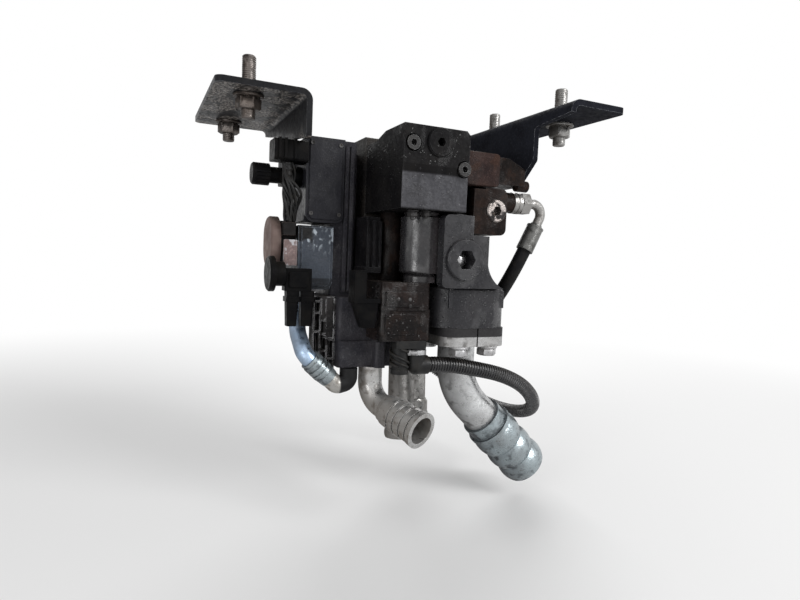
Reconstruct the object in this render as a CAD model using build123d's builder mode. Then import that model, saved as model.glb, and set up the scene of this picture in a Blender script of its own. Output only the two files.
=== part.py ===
"""Hydraulic control valve assembly of a wheel loader, hung by two steel brackets.

Millimetres. The origin is the middle of the left bracket's two studs, on the top face of
its flange. +Z is up, +X runs right along the front of the valve, and -Y is the front.
"""
from math import cos, hypot, pi, radians, sin, tan
import os

from build123d import *

os.makedirs("parts", exist_ok=True)

# Clearances
seated = 0.3
apart = 2

# Valve sections, stacked along X
section_w = 44
section_n = 3
body_left = 130
body_front = -60
body_back = 34
body_top = -29
body_bottom = -205
body_round = 6
seam = 1.6
seam_inset = 4
work_port = dict(r=9, deep=12, boss_r=15, boss_t=7)
work_port_heights = (-70, -150)
stack_right = body_left + section_n * section_w

# End plate: where the right bracket is bolted, with the tie rods' nuts beside it
end_plate_t = 19
end_pad_t = 7
end_inset = 4
tie_flats = 13
tie_nut_t = 5.5
tie_inset = 14

# Brackets of bent plate; an outline is the lower edge of a web as (y, z)
plate_t = 6
bend_r = 5
flange_corner = 8
cut_r = 4
left_web_x = 50
left_flange = dict(end=-36, front=-100, back=96)
left_outline = ((-100, -48), (-62, -41), (-9, -35), (-9, -84), (18, -84), (18, -26), (96, -13))
drain_hole_r = 6
drain_hole_x = 4
right_web_x = stack_right + end_plate_t
right_flange = dict(end=right_web_x + 71, front=-213, back=36)
right_outline = ((-213, -13), (-157, -18), (-157, -52), (-136, -72), (-58, -72), (-58, -150), (8, -150),
                 (22, -60), (36, -40))

# Studs, washers and nuts
stud_gap = 130
stud_r = 7
stud_up = 32
stud_down = 9
stud_clearance = 0.8
washer_r = 15
washer_t = 2.5
nut_flats = 22
nut_t = 12
right_stud = (right_web_x + 46, -141)

# Upper manifold block
manifold_front = -155
manifold_w = 73
manifold_top = -32.5
manifold_ridge = -111
manifold_fall = (-86, -39)
manifold_bottom = -113
step_top = -70
step_proud = 2
step_slope = 8
manifold_chamfer = 4
screw_head_r = 7
screw_head_proud = 1.5
screw_socket = 6
screw_recess_r = 8.5
screw_recess_deep = 6
screws_at = ((9.8, -50.3), (manifold_w - 5.5, -70.5))

# Plugs: head radius, proud height, hexagon socket across flats and deep, shank radius
top_plug = dict(x=39, z=-47, r=14.2, proud=3, socket=8, deep=7, shank=7)
inlet_plug = dict(x=207, z=-160.5, r=21.5, proud=4, socket=19, deep=13, shank=13)
side_plug = dict(x=28, z=-107.5, r=12, proud=2, socket=9, deep=6, shank=7)
plug_floor = 3
plug_rim = 1.2

# Cartridge barrels below the manifold
barrel = dict(x=174.5, y=-112, r=22)
barrel_cap = 5
barrel_round = 3
barrel_collar = 9
neck_step = 5
rear_barrel_r = 12.8
rear_barrel_turn = 131

# Inlet housing: casting, face pad with the big plug, and the round foot over the port
housing_left = barrel["x"] + barrel["r"] + 1.2
housing_front = -138
pad_left = 182
pad_right = 216.5
waist_right = 236
waist_bottom = -165
pad_front = -150
pad_round = 6
pad_foot_right = 257
foot_top = -190
foot_bottom = -233
foot_left = 185
foot_right = 277
foot_front = -142
foot_round = 32
foot_edge = 3

# Split port flange, four bolts; the tube under it
port_x = 233
port_y = -97
flange_x = 78
flange_y = 88
flange_t = 20
flange_round = 15
flange_split = 0.8
flange_bolt_x = 35.7
flange_bolt_y = 69.9
flange_bolt_r = 6
flange_bolt_flats = 19
flange_bolt_head = 8
flange_washer_r = 11.5
flange_washer_t = 2.5
main_tube_r = 21
main_tube_bore = 17.5
main_drop = 73
main_lean = 46
main_bend_r = 74
main_run = 22

# Pilot plate and pilot block under the barrels
pilot_top = -186
pilot_left = 121.5
pilot_right = 176
pilot_front = -137
pilot_split = -214
pilot_bottom = -246
pilot_round = 4

# Right-hand blocks
brown_gap = 2
brown_w = 40
brown_front = -150
brown_top = -49
brown_bottom = -83
brown_round = 4
side_gap = 1
side_w = 41
side_front = -146
side_top = -84
side_bottom = -133
side_round = 7
side_port = dict(y=-124, z=-95, boss_r=11, boss=30.5, nut_flats=22, nut=11, tube_r=5.5, bore=3.5)

# Left section and the actuators on it
slab_left = 91
slab_right = 118
slab_front = -62
slab_back = 20
slab_top = -38
slab_bottom = -205
upper_left = 60
upper_right = 102
slab_ribs = ((upper_right + 1.5, 3.5), (upper_right + 8, 2.5))
rib_w = 5
upper_top = -38
upper_bottom = -127
upper_front = -70
lower_left = 53
lower_top = -131
lower_bottom = -198
lower_front = -72
cover_t = 8
cover_rim = 3.5
cover_raise = 2
cover_round = 9
case_back = -10

# Lower port block, base plate and the finned casting beside them
block_left = 93
block_right = 181
block_front = -90
block_back = 0
block_split = -251
block_bottom = -279
block_round = 4
pilaster = dict(left=131, right=143, front=-101, top=pilot_bottom - apart)
fin_left = 68
fin_back = -12
fin_face = -68
fin_front = -80
fin_t = 1.8
fin_slant = 16

# Tubes under the block
return_r = 13
return_bore = 10
return_x = 133
return_y = -85
return_drop = 36
return_bend_r = 26
return_way = (18, -43, -12)
twin_r = 16
twin_bore = 13
elbow_r = 9.5
elbow_bore = 6
elbow_x = 105
elbow_y = -93
elbow_drop = 15
elbow_way = (-17, 0, 16)
climb_x = lower_left + 4.5
climb_y = -50

# Hoses and looms
hose_r = 7.8
conduit_r = 8.5
loom_r = 5


def front(y):
    """The upright plane at y, seen from the front: its x is X and its y is Z."""
    return Plane(origin=(0, y, 0), x_dir=(1, 0, 0), z_dir=(0, -1, 0))


def side(x):
    """The upright plane at x, facing +X: its x is Y and its y is Z."""
    return Plane(origin=(x, 0, 0), x_dir=(0, 1, 0), z_dir=(1, 0, 0))


def level(z):
    """The flat plane at height z: its x is X and its y is Y."""
    return Plane.XY.offset(z)


def middle(low, high):
    """The point halfway between two numbers."""
    return (low + high) / 2


def hex_r(flats):
    """The corner radius of a hexagon from its size across flats."""
    return flats / 2 / cos(radians(30))


def save(part, name):
    """Names a finished piece and writes it."""
    part.label = name
    export_step(part, f"parts/{name}.step")


def box(low, high, r=0.0, along=Axis.Z):
    """A block between two corners in the part in hand, its edges along one axis rounded."""
    with Locations(tuple(middle(a, b) for a, b in zip(low, high))):
        solid = Box(*(b - a for a, b in zip(low, high)), mode=Mode.PRIVATE)
    add(solid.fillet(r, solid.edges().filter_by(along)) if r else solid)


def rod(start, direction, radius, long, mode=Mode.ADD):
    """A round bar from a point along a direction, in the part in hand."""
    with Locations(Plane(origin=start, z_dir=direction)):
        Cylinder(radius, long, align=(Align.CENTER, Align.CENTER, Align.MIN), mode=mode)


FORWARD, BACKWARD, RIGHT, UP, DOWN = (0, -1, 0), (0, 1, 0), (1, 0, 0), (0, 0, 1), (0, 0, -1)


def bent_bracket(outer, inner, flange, outline, holes):
    """A plate bent to a flange and an upright web, which is cut to its outline."""
    end, near, far = flange["end"], flange["front"], flange["back"]
    drop = -min(z for y, z in outline)
    with BuildPart() as plate:
        with BuildSketch(front(near)):
            with BuildLine():
                Polyline((end, 0), (outer, 0), (outer, -drop), (inner, -drop), (inner, -plate_t),
                         (end, -plate_t), close=True)
            make_face()
            fillet(vertices().sort_by_distance((outer, 0))[0], plate_t + bend_r)
            fillet(vertices().sort_by_distance((inner, -plate_t))[0], bend_r)
        extrude(amount=near - far)
        corners = plate.edges().filter_by(Axis.Z).group_by(Axis.X)
        fillet(corners[0] if end < outer else corners[-1], flange_corner)
        with BuildSketch(side(min(end, outer))):
            with BuildLine():
                Polyline((near, 0), *outline, (far, 0), close=True)
            make_face()
            fillet(vertices().filter_by_position(Axis.Y, -drop, -2 * flange_corner), cut_r)
        extrude(amount=abs(end - outer), mode=Mode.INTERSECT)
        with BuildSketch(level(-plate_t)):
            for x, y, r in holes:
                with Locations((x, y)):
                    Circle(r)
        extrude(amount=plate_t, mode=Mode.SUBTRACT)
    return plate.part


stud_hole = stud_r + stud_clearance
save(bent_bracket(left_web_x + plate_t, left_web_x, left_flange, left_outline,
                  ((0, -stud_gap / 2, stud_hole), (0, stud_gap / 2, stud_hole),
                   (drain_hole_x, 0, drain_hole_r))), "left_bracket")
save(bent_bracket(right_web_x, right_web_x + plate_t, right_flange, right_outline,
                  ((right_stud[0], right_stud[1], stud_hole),
                   (right_stud[0], right_stud[1] + stud_gap, stud_hole))), "right_bracket")


def stud_pair(x, y):
    """Two studs along Y, each with its washer and nut under the flange."""
    with BuildPart() as pair:
        for place in (y, y + stud_gap):
            under = -plate_t - washer_t
            rod((x, place, under - nut_t - stud_down), UP, stud_r, stud_up - under + nut_t + stud_down)
            rod((x, place, under), UP, washer_r, washer_t)
            with BuildSketch(level(under - nut_t)):
                with Locations((x, place)):
                    RegularPolygon(hex_r(nut_flats), 6)
            extrude(amount=nut_t)
    return pair.part


save(stud_pair(0, -stud_gap / 2), "left_studs")
save(stud_pair(*right_stud), "right_studs")

# Valve sections: cast slices with a thinner seam between them, work ports and ribs on the back
for number in range(section_n):
    x = body_left + number * section_w
    centre = x + (section_w - seam) / 2
    with BuildPart() as section:
        for start, long, inset in ((x, section_w - seam, 0), (x + section_w - seam, seam, seam_inset)):
            with BuildSketch(side(start)):
                with Locations((middle(body_front, body_back), middle(body_top, body_bottom))):
                    RectangleRounded(body_back - body_front - 2 * inset, body_top - body_bottom - 2 * inset,
                                     body_round)
            extrude(amount=long)
        for z in work_port_heights:
            rod((centre, body_back, z), BACKWARD, work_port["boss_r"], work_port["boss_t"])
            rod((centre, body_back + work_port["boss_t"], z), FORWARD, work_port["r"], work_port["deep"],
                Mode.SUBTRACT)
        for z in (middle(*work_port_heights), body_top - 2 * body_round):
            box((x + body_round, body_back - 1, z - seam_inset / 2),
                (x + section_w - seam - body_round, body_back + seam_inset, z + seam_inset / 2))
    save(section.part, f"valve_section_{number + 1}")

# End plate, with a raised pad for the bracket and the tie rods' nuts round it
with BuildPart() as end_plate:
    low_y, high_y = body_front + end_inset, body_back - end_inset
    low_z, high_z = body_bottom + 2 * end_inset, body_top - end_inset
    with BuildSketch(side(stack_right)):
        with Locations((middle(low_y, high_y), middle(low_z, high_z))):
            RectangleRounded(high_y - low_y, high_z - low_z, 2 * body_round)
    extrude(amount=end_plate_t - end_pad_t)
    box((stack_right, low_y + 2, high_z - 120), (right_web_x, high_y - 12, high_z - 40), body_round, Axis.X)
    for y in (low_y + tie_inset, high_y - tie_inset):
        for z in (low_z + tie_inset, high_z - tie_inset):
            with BuildSketch(side(stack_right + end_plate_t - end_pad_t)):
                with Locations((y, z)):
                    RegularPolygon(hex_r(tie_flats), 6)
            extrude(amount=tie_nut_t)
save(end_plate.part, "end_plate")

# Left section: the tall slab that carries both actuators, with ribs down its front
with BuildPart() as left_section:
    box((slab_left, slab_front, slab_bottom), (slab_right, slab_back, slab_top), 3)
    for x, proud in slab_ribs:
        box((x, slab_front - proud, slab_bottom + 4), (x + rib_w, slab_front + 1, slab_top - 5), 1)
    box((slab_right - 1, -30, slab_bottom + 6), (body_left, slab_back - 4, slab_top - 6), 4, Axis.X)
    box((left_web_x + plate_t, -8, -84), (slab_left + 1, 18, slab_top - 2), 3, Axis.X)
save(left_section.part, "left_section")


def shank_hole(x, face_y, plug):
    """The bore that a plug's shank sits in, cut from the part in hand."""
    rod((x, face_y, plug["z"]), BACKWARD, plug["shank"] + seated, plug["deep"] + plug_floor + seated,
        Mode.SUBTRACT)


def socket_plug(x, face_y, plug):
    """A round plug: a chamfered head on a front face, a shank behind it and a hexagon socket."""
    with BuildPart() as made:
        rod((x, face_y, plug["z"]), FORWARD, plug["r"], plug["proud"])
        chamfer(made.faces().sort_by(Axis.Y)[0].edges(), plug_rim)
        rod((x, face_y, plug["z"]), BACKWARD, plug["shank"], plug["deep"] + plug_floor)
        with BuildSketch(front(face_y - plug["proud"])):
            with Locations((x, plug["z"])):
                RegularPolygon(hex_r(plug["socket"]), 6)
        extrude(amount=-plug["deep"] - plug["proud"], mode=Mode.SUBTRACT)
    return made.part


# Upper manifold block: the upper half of its face stands proud over a sloping step, and its top falls back
upper_face = manifold_front - step_proud
with BuildPart() as upper_manifold:
    with BuildSketch(side(body_left)):
        with BuildLine():
            Polyline((body_front, manifold_fall[1]), manifold_fall, (manifold_ridge, manifold_top),
                     (upper_face, manifold_top), (upper_face, step_top),
                     (manifold_front, step_top - step_slope), (manifold_front, manifold_bottom),
                     (body_front, manifold_bottom), close=True)
        make_face()
    extrude(amount=manifold_w)
    chamfer(upper_manifold.faces().sort_by(Axis.Z)[-1].edges().sort_by(Axis.X)[-1], manifold_chamfer)
    for x, z in screws_at:
        rod((body_left + x, upper_face, z), BACKWARD, screw_recess_r, screw_recess_deep, Mode.SUBTRACT)
    shank_hole(body_left + top_plug["x"], upper_face, top_plug)
save(upper_manifold.part, "upper_manifold")
save(socket_plug(body_left + top_plug["x"], upper_face, top_plug), "top_plug")

# Socket-head screws in the manifold's recesses
with BuildPart() as manifold_screws:
    for x, z in screws_at:
        rod((body_left + x, upper_face + screw_recess_deep, z), FORWARD, screw_head_r,
            screw_recess_deep + screw_head_proud)
        with BuildSketch(front(upper_face - screw_head_proud)):
            with Locations((body_left + x, z)):
                RegularPolygon(hex_r(screw_socket), 6)
        extrude(amount=-screw_socket, mode=Mode.SUBTRACT)
save(manifold_screws.part, "manifold_screws")

# Barrels that hang below the manifold: cap, body, rounded lower edge, neck
with BuildPart() as front_barrel:
    r, low, high = barrel["r"], pilot_top + barrel_collar, manifold_bottom - barrel_cap
    with BuildSketch(Plane.XZ):
        with BuildLine():
            Polyline((0, pilot_top), (r - neck_step, pilot_top), (r - neck_step, low - 3),
                     (r - neck_step - 2, low), (r, low), (r, high), (r - 1.5, high), (r - 3, high + 1.5),
                     (r - 3, manifold_bottom), (0, manifold_bottom), close=True)
        make_face()
        fillet(vertices().sort_by_distance((r, low))[0], barrel_round)
    revolve(axis=Axis.Z)
front_barrel_solid = Pos(barrel["x"], barrel["y"], 0) * front_barrel.part
save(front_barrel_solid, "front_barrel")
spread = barrel["r"] + rear_barrel_r + seated
rear_barrel_x = barrel["x"] + spread * cos(radians(rear_barrel_turn))
rear_barrel_y = barrel["y"] + spread * sin(radians(rear_barrel_turn))
with BuildPart() as rear_barrel:
    rod((rear_barrel_x, rear_barrel_y, pilot_top), UP, rear_barrel_r, manifold_bottom - pilot_top)
    for z, long in ((pilot_top + 8, 5), (manifold_bottom - 16, 4)):
        rod((rear_barrel_x, rear_barrel_y, z), UP, rear_barrel_r - 1.2, long, Mode.SUBTRACT)
        rod((rear_barrel_x, rear_barrel_y, z), UP, rear_barrel_r - 2, long)
save(rear_barrel.part, "rear_barrel")

# Inlet housing: foot, casting that sweeps out to it, and the flat pad in front
with BuildPart() as inlet_housing:
    box((foot_left, foot_front, foot_bottom), (foot_right, body_front, foot_top), foot_round)
    fillet(inlet_housing.faces().sort_by(Axis.Z)[-1].edges(), foot_edge)
    with BuildSketch(front(housing_front)):
        sweep_x = foot_right - foot_round / 3
        under_side = side_bottom - apart
        with BuildLine():
            Polyline((waist_right, waist_bottom), (waist_right, under_side), (pad_right, under_side),
                     (pad_right, manifold_bottom), (housing_left, manifold_bottom),
                     (housing_left, middle(foot_top, foot_bottom)), (sweep_x, middle(foot_top, foot_bottom)),
                     (sweep_x, foot_top - foot_edge))
            ThreePointArc((sweep_x, foot_top - foot_edge),
                          (waist_right + 0.3 * (sweep_x - waist_right), middle(waist_bottom, foot_top) - 3),
                          (waist_right, waist_bottom))
        make_face()
    extrude(amount=housing_front - body_front)
    with BuildSketch(front(pad_front)):
        with BuildLine():
            Polyline((waist_right, waist_bottom), (waist_right, under_side), (pad_right, under_side),
                     (pad_right, manifold_bottom - apart), (pad_left, manifold_bottom - apart),
                     (pad_left, foot_top), (pad_foot_right, foot_top))
            ThreePointArc((pad_foot_right, foot_top),
                          (waist_right + 0.35 * (pad_foot_right - waist_right),
                           middle(waist_bottom, foot_top) - 3),
                          (waist_right, waist_bottom))
        make_face()
        fillet(vertices().group_by(Axis.X)[0], pad_round)
    extrude(amount=pad_front - housing_front - 1)
    shank_hole(inlet_plug["x"], pad_front, inlet_plug)
save(inlet_housing.part, "inlet_housing")
save(socket_plug(inlet_plug["x"], pad_front, inlet_plug), "inlet_plug")

# Split port flange: two halves round the tube's collar, and four bolts with washers
flange_under = foot_bottom - flange_t
for name, sign in (("port_flange_left", -1), ("port_flange_right", 1)):
    with BuildPart() as half:
        with BuildSketch(level(flange_under)):
            with Locations((port_x, port_y)):
                RectangleRounded(flange_x, flange_y, flange_round)
                Circle(main_tube_r + seated, mode=Mode.SUBTRACT)
            with Locations((port_x - sign * (flange_x / 2 - flange_split), port_y)):
                Rectangle(flange_x, flange_y, mode=Mode.SUBTRACT)
            with Locations(*[(port_x + sign * flange_bolt_x / 2, port_y + y * flange_bolt_y / 2)
                             for y in (-1, 1)]):
                Circle(flange_bolt_r + seated, mode=Mode.SUBTRACT)
        extrude(amount=flange_t)
    save(half.part, name)
with BuildPart() as flange_bolts:
    for x in (port_x - flange_bolt_x / 2, port_x + flange_bolt_x / 2):
        for y in (port_y - flange_bolt_y / 2, port_y + flange_bolt_y / 2):
            rod((x, y, flange_under), UP, flange_bolt_r, flange_t)
            rod((x, y, flange_under), DOWN, flange_washer_r, flange_washer_t)
            with BuildSketch(level(flange_under - flange_washer_t)):
                with Locations((x, y)):
                    RegularPolygon(hex_r(flange_bolt_flats), 6)
            extrude(amount=-flange_bolt_head)
save(flange_bolts.part, "flange_bolts")


def bent_tube(points, radii, outer, bore):
    """A steel tube along straight runs joined by arcs."""
    with BuildPart() as tube:
        with BuildLine() as path:
            FilletPolyline(*points, radius=radii)
        with BuildSketch(Plane(origin=path.line @ 0, z_dir=path.line % 0)):
            Circle(outer)
            Circle(bore, mode=Mode.SUBTRACT)
        sweep(path=path.line)
    return tube.part


def ferrule(start, direction, bands, bore, cup, mouth):
    """A crimped ferrule of (length, first radius, middle radius, last radius) bands, with an open cup."""
    axis = Plane(origin=start, z_dir=direction)
    with BuildPart() as sleeve:
        with BuildSketch(Plane(origin=start, x_dir=axis.x_dir, z_dir=-axis.y_dir)):
            with BuildLine():
                along, last = 0, (bore, 0)
                for long, first, mid, final in bands:
                    if (first, along) != last:
                        Line(last, (first, along))
                    last = (final, along + long)
                    if mid:
                        ThreePointArc((first, along), (mid, along + long / 2), last)
                    else:
                        Line((first, along), last)
                    along += long
                Polyline(last, (mouth, along), (mouth, cup), (bore, cup), (bore, 0))
            make_face()
        revolve(axis=Axis(start, direction))
    return sleeve.part


def beyond(start, direction, distance):
    """The point a distance from a start along a direction."""
    long = hypot(*direction)
    return tuple(a + b / long * distance for a, b in zip(start, direction))


# Main tube: from inside the split flange, down and out to the right, and its crimped ferrule
lean = (sin(radians(main_lean)), 0, -cos(radians(main_lean)))
main_top = (port_x, port_y, foot_bottom - seated)
main_corner = (port_x, port_y, foot_bottom - main_drop)
main_end = beyond(main_corner, lean, main_bend_r * tan(radians(main_lean / 2)) + main_run)
r = main_tube_r
save(bent_tube((main_top, main_corner, main_end), (main_bend_r,), r, main_tube_bore), "main_tube")
save(ferrule(main_end, lean, ((15, r + 3.5, 0, r + 3.5), (5, r + 6.5, 0, r + 6.5), (26, r + 5, r + 7, r + 4),
                              (24, r + 4, r + 7, r + 4), (24, r + 4, r + 7, r + 4.5)),
             main_tube_bore, 16, r + 1), "main_ferrule")

# Pilot plate and pilot block under the barrels
with BuildPart() as pilot_plate:
    box((pilot_left, pilot_front, pilot_split), (pilot_right, block_front, pilot_top), pilot_round)
    box((pilot_left + 4, pilot_front - 2.5, pilot_split + 4),
        (pilot_right - 10, pilot_front + 1, pilot_top - 9), 1)
    box((body_left + 1, block_front - 10, body_bottom), (pilot_right, body_front, pilot_top))
save(pilot_plate.part, "pilot_plate")
with BuildPart() as pilot_block:
    box((pilot_left + 1, pilot_front + 3, pilot_bottom), (pilot_right + 3, block_front - apart, pilot_split),
        pilot_round)
    box((pilot_left + 6, pilot_front + 1.5, pilot_bottom + 7),
        (pilot_right - 14, pilot_front + 4, pilot_split - 4))
save(pilot_block.part, "pilot_block")

# Pilot valve in the recess on the left of the barrels: a body with upright ribs on a foot
valve_left, valve_right, valve_front = slab_right + apart, rear_barrel_x - rear_barrel_r - apart, -92
with BuildPart() as pilot_valve:
    box((valve_left, valve_front, -172), (valve_right, body_front, manifold_bottom - 6), 1.5)
    box((valve_left - 1.5, valve_front - 3, -178), (valve_right + 1, body_front, -172), 1.5)
    for x in (valve_left, middle(valve_left, valve_right) - 1.2, valve_right - 2.4):
        box((x, valve_front - 3, -172), (x + 2.4, valve_front + 1, manifold_bottom - 10))
save(pilot_valve.part, "pilot_valve")

# Brown block, spacer block with its round knob, and the side port block on the right
brown_left = body_left + manifold_w + brown_gap
brown_right = brown_left + brown_w
with BuildPart() as brown_block:
    with BuildSketch(front(brown_front)):
        with Locations((middle(brown_left, brown_right), middle(brown_top, brown_bottom))):
            RectangleRounded(brown_w, brown_top - brown_bottom, brown_round)
    extrude(amount=brown_front - body_front)
    fillet(brown_block.faces().sort_by(Axis.Y)[0].edges(), 1.5)
save(brown_block.part, "brown_block")
with BuildPart() as spacer_block:
    with BuildSketch(front(brown_front + 5)):
        with BuildLine():
            Polyline((brown_right, brown_top - 2), (brown_right + 14, brown_top - 2),
                     (right_web_x, brown_top - 12), (right_web_x, brown_bottom + 4),
                     (brown_right, brown_bottom + 4), close=True)
        make_face()
        fillet(vertices().group_by(Axis.Y)[-1].sort_by(Axis.X)[-1], 6)
    extrude(amount=brown_front - body_front + 30)
    rod((right_web_x - 7, brown_front + 12, brown_bottom + 5), RIGHT, 6, 14)
save(spacer_block.part, "spacer_block")

side_left = pad_right + side_gap
side_right = side_left + side_w
with BuildPart() as side_port_block:
    with BuildSketch(front(side_front)):
        with BuildLine():
            Polyline((side_left, side_top - 2), (side_left + side_w / 3, side_top - 2),
                     (side_left + side_w / 3, side_top), (side_right, side_top),
                     (side_right, side_bottom), (side_left, side_bottom), close=True)
        make_face()
        fillet(vertices().group_by(Axis.X)[-1], side_round)
    extrude(amount=side_front - body_front)
    rod((side_right, side_port["y"], side_port["z"]), RIGHT, side_port["boss_r"], side_port["boss"])
    shank_hole(side_left + side_plug["x"], side_front, side_plug)
save(side_port_block.part, "side_port_block")
save(socket_plug(side_left + side_plug["x"], side_front, side_plug), "side_plug")


def cover(left, right, low, high, face, back):
    """An actuator: a case, a flat cover with two round lower corners and a raised panel on it."""
    with BuildPart() as made:
        box((left, face + cover_t, low), (slab_left, back, high), 2, Axis.Y)
        for inset, plane, deep in ((0, face + cover_raise, cover_t - cover_raise),
                                   (cover_rim, face, cover_t)):
            with BuildSketch(front(plane)):
                with BuildLine():
                    Polyline((left + inset, high - inset / 2), (left + inset, low + inset),
                             (right - inset, low + inset), (right - inset, high - inset / 2), close=True)
                make_face()
                fillet(vertices().group_by(Axis.Y)[0], cover_round - inset)
            extrude(amount=-deep)
    return made.part


save(cover(upper_left, upper_right, upper_bottom, upper_top, upper_front, case_back), "upper_actuator")
save(cover(lower_left, slab_left, lower_bottom, lower_top, lower_front, case_back), "lower_actuator")

# Connectors on the left of the actuators
with BuildPart() as plug_connector:
    box((25, -76, -67), (upper_left, -50, -45.5), 3, Axis.X)
    for x in (29, 35, 45):
        box((x, -78, -66), (x + 2.5, -48, -44.5), 2, Axis.X)
save(plug_connector.part, "plug_connector")
cap_axis = (-44, -79)
cap_r = 11.5
with BuildPart() as locking_cap:
    for x, r, long in ((8, cap_r, 18), (26, 8.5, 14), (40, 11, upper_left - 40)):
        rod((x, *cap_axis), RIGHT, r, long)
    chamfer(locking_cap.faces().sort_by(Axis.X)[0].edges(), 1.5)
    for turn in range(0, 360, 20):
        y, z = cap_axis[0] + cap_r * cos(radians(turn)), cap_axis[1] + cap_r * sin(radians(turn))
        rod((12, y, z), RIGHT, 0.9, 14, Mode.SUBTRACT)
save(locking_cap.part, "locking_cap")
loom_end = (45, -62, -128)
with BuildPart() as end_disc:
    with BuildSketch(side(27)):
        with Locations((-40, -150)):
            SlotOverall(56, 44, rotation=90)
    extrude(amount=10)
    with BuildSketch(side(37)):
        with Locations((-40, -150)):
            SlotOverall(48, 36, rotation=90)
    extrude(amount=lower_left - 37)
    fillet(end_disc.faces().sort_by(Axis.X)[0].edges(), 3)
    box((loom_end[0] - 7, loom_end[1] - 6, loom_end[2] - 14),
        (loom_end[0] + 6.5, loom_end[1] + 12, loom_end[2] - 0.8), 2)
save(end_disc.part, "end_disc")
with BuildPart() as blank_tag:
    box((lower_left - 14.5, -69, -173.5), (lower_left - 0.5, -66, -146.5), 1.2, Axis.Y)
save(blank_tag.part, "blank_tag")

# Lower port block and base plate, each with its share of the pilaster down the front
for name, low, high, lip in (("lower_port_block", block_split, body_bottom, 0),
                             ("base_plate", block_bottom, block_split, 3)):
    with BuildPart() as made:
        box((block_left, block_front - lip, low), (block_right, block_back, high), block_round)
        box((pilaster["left"], pilaster["front"] - lip, low),
            (pilaster["right"], block_front + 1, min(high, pilaster["top"])), 3)
    save(made.part, name)

# Finned casting: a back wall slanted on the left, a rounded drum in steps, upright fins as (x, low)
# and shelves as (x, right, z)
fin_right = block_left - 0.2
step_2, step_3 = slab_bottom - 23, slab_bottom - 44
column_2, column_3 = fin_left + 7.5, fin_left + 15
fins = ((fin_left, block_bottom + 11), (column_2, block_bottom + 7), (column_3, block_bottom - 1),
        (fin_right - fin_t, block_bottom - 7))
shelves = ((fin_left, column_2 + 1, slab_bottom - 4), (fin_left, column_2 + 1, slab_bottom - 16),
           (fin_left, column_2 + 1, slab_bottom - 36), (column_2, column_3 + 1, slab_bottom - 39),
           (column_2, column_3 + 1, step_2 - 1), (column_3, fin_right, step_3 - 1),
           (column_2, column_3 + 1, slab_bottom - 57), (column_3, fin_right, slab_bottom - 65))
with BuildPart() as finned_casting:
    with BuildSketch(level(block_bottom - 5)):
        with BuildLine():
            Polyline((fin_left + 2, fin_face), (fin_right, fin_face), (fin_right, fin_back),
                     (fin_left + 2 + fin_slant, fin_back), close=True)
        make_face()
        fillet(vertices().group_by(Axis.Y)[0].sort_by(Axis.X)[0], 2)
    extrude(amount=slab_bottom - block_bottom + 5)
    for left, right, low in ((column_2, column_3 + 1, step_2), (column_3 - 3, fin_right, step_3)):
        box((left, fin_front, low), (right, fin_face + 1, slab_bottom), 3.5)
    for x, low in fins:
        box((x, fin_front, low), (x + fin_t, fin_face + 1, slab_bottom - 2))
    for left, right, z in shelves:
        box((left, fin_front, z - fin_t), (right, fin_face + 1, z))
save(finned_casting.part, "finned_casting")

# Return tube and its ringed ferrule, which points forward and to the right
return_corner = (return_x, return_y, block_bottom - return_drop)
return_end = beyond(return_corner, return_way, return_bend_r)
save(bent_tube(((return_x, return_y, block_bottom), return_corner, return_end), (return_bend_r,), return_r,
               return_bore), "return_tube")
r = return_r
rings = ((2, r + 3.5, 0, r + 3.5), (7, r + 5, 0, r + 5.5)) * 3
save(ferrule(return_end, return_way, ((6, r + 2, 0, r + 3), (12, r + 4, 0, r + 5), *rings,
                                      (2, r + 3.5, 0, r + 3.5), (6, r + 6, 0, r + 6.5)),
             return_bore, 10, r + 1.5), "return_ferrule")

# Twin tubes that drop from the second and third sections, each with a ferrule
twin_bottom = -340
twin_bend = -262
for number, (x, y) in enumerate(((body_left + 1.55 * section_w, -26), (body_left + 2.25 * section_w, 4))):
    save(bent_tube(((x, y, body_bottom), (x, y, twin_bend), (x - 2, y - 8, twin_bottom)), (60,), twin_r,
                   twin_bore), f"twin_tube_{number + 1}")
    swell = (12, twin_r + 2.5, twin_r + 4, twin_r + 2.5)
    save(ferrule((x - 2, y - 8, twin_bottom), (-2, -8, twin_bottom - twin_bend),
                 ((3, twin_r + 1, 0, twin_r + 2), (12, twin_r + 3, 0, twin_r + 3), swell, swell),
                 twin_bore, 8, twin_r + 0.5), f"twin_ferrule_{number + 1}")

# Lower left elbow, its ringed ferrule and the tube that climbs to the lower actuator
elbow_low = block_bottom - elbow_drop
elbow_route = ((elbow_x, elbow_y, block_bottom), (elbow_x, elbow_y, elbow_low),
               (elbow_x - 13, elbow_y, elbow_low - 3),
               beyond((elbow_x - 13, elbow_y, elbow_low - 3), elbow_way, 11))
save(bent_tube(elbow_route, (7, 7), elbow_r, elbow_bore), "lower_elbow")
r = elbow_r
rings = ((2, r + 0.5, 0, r + 0.5), (4, r + 2, 0, r + 2)) * 3
save(ferrule(elbow_route[-1], elbow_way, ((8, r + 0.5, 0, r + 1.5), *rings, (4, r + 1, 0, r + 1.5)),
             elbow_bore, 12, r - 0.3), "elbow_ferrule")
climb_start = beyond(elbow_route[-1], elbow_way, 14)
climb_bend = beyond(elbow_route[-1], elbow_way, 38)
with BuildPart() as climbing_tube:
    with BuildLine() as climb:
        FilletPolyline(climb_start, climb_bend, (climb_x, climb_y - 12, lower_bottom - 48),
                       (climb_x, climb_y, lower_bottom - 24), (climb_x, climb_y, lower_bottom),
                       radius=(12, 12, 10))
    with BuildSketch(Plane(origin=climb.line @ 0, z_dir=climb.line % 0)):
        Circle(elbow_r - 0.7)
    sweep(path=climb.line)
save(climbing_tube.part, "climbing_tube")

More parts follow.
